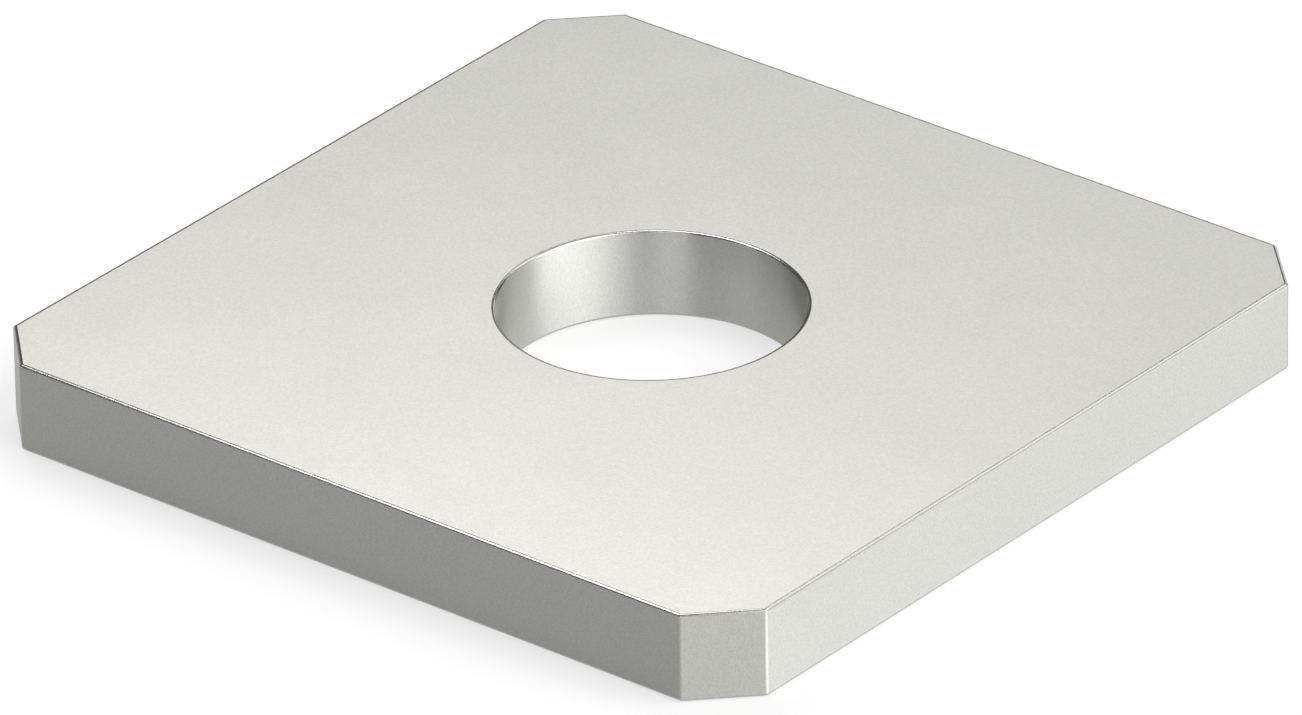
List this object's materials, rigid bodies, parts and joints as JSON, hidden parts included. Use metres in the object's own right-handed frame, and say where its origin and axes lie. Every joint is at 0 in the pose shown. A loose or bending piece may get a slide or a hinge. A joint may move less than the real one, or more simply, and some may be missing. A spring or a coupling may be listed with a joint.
{
  "type": "square plate washer",
  "caption": "Flat square steel plate washer with 45 degree corner cuts, a round central bolt hole and lightly rounded edges.",
  "frame": {"origin": "on the hole's axis, at the lower face that the washer rests on", "axes": "+Z along the hole's axis, out of the upper face; +X and +Y square to the plate's sides"},
  "size_m": [0.04, 0.04, 0.004],
  "materials": {
    "satin_steel": "pale satin steel with a fine even grain and bright rounded edges"
  },
  "bodies": {
    "root": {"plate_washer": "satin_steel"}
  },
  "joints": []
}
